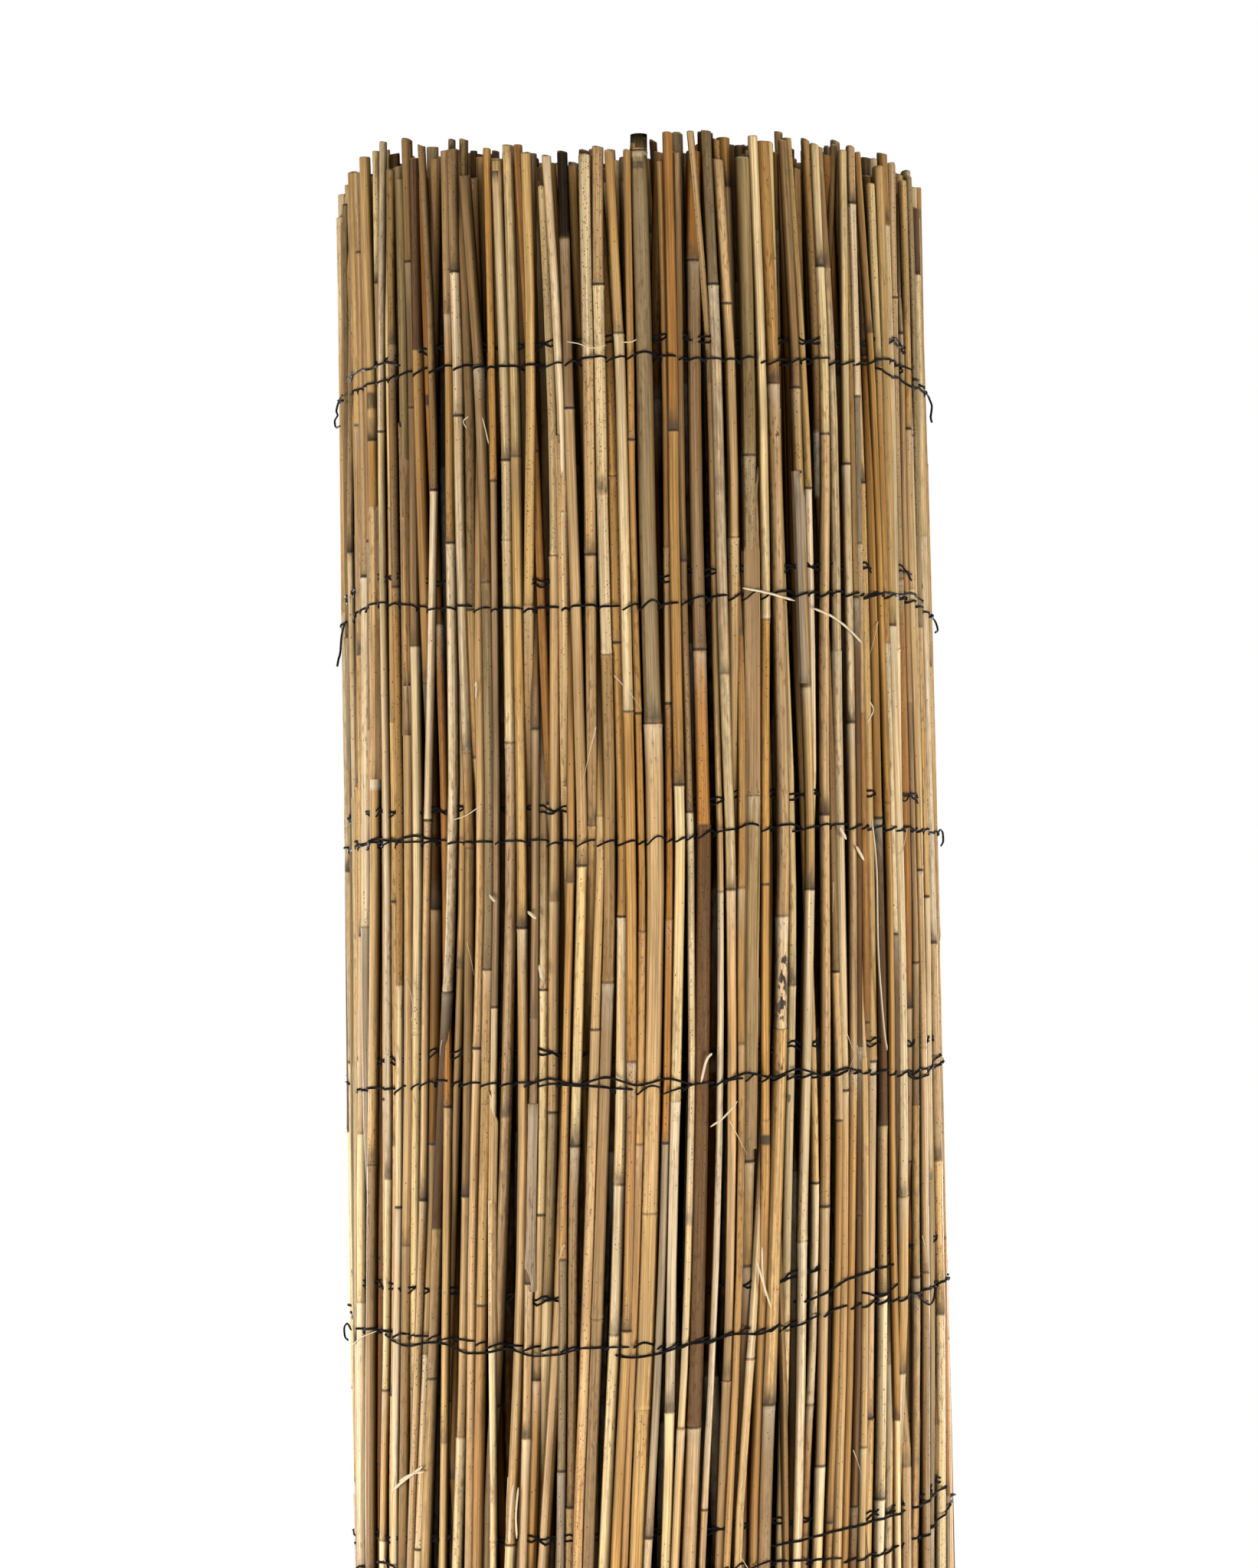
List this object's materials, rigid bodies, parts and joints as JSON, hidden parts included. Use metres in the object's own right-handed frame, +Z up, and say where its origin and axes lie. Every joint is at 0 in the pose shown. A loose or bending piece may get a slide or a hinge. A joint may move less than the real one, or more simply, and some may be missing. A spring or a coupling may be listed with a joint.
{
  "type": "cane screening roll",
  "caption": "Standing roll of cane screening: upright thin canes twined side by side with rows of black wire, wound in a spiral round an open bore, ends left uneven.",
  "frame": {"origin": "on the floor, at the middle of the roll's box", "axes": "+Z up along the roll and its canes, X and Y level, the roll standing on its foot end"},
  "size_m": [0.2692, 0.2642, 1.7997],
  "materials": {
    "cane": "dry natural cane, straw to tan",
    "wire": "black annealed wire"
  },
  "bodies": {
    "root": {"cane_roll": "cane", "binding_wire_01": "wire", "binding_wire_02": "wire", "binding_wire_03": "wire", "binding_wire_04": "wire", "binding_wire_05": "wire", "binding_wire_06": "wire", "binding_wire_07": "wire", "binding_wire_08": "wire", "binding_wire_09": "wire", "binding_wire_10": "wire", "binding_wire_11": "wire", "binding_wire_12": "wire", "binding_wire_13": "wire", "binding_wire_14": "wire", "binding_wire_15": "wire", "binding_wire_16": "wire", "binding_wire_17": "wire"}
  },
  "joints": []
}
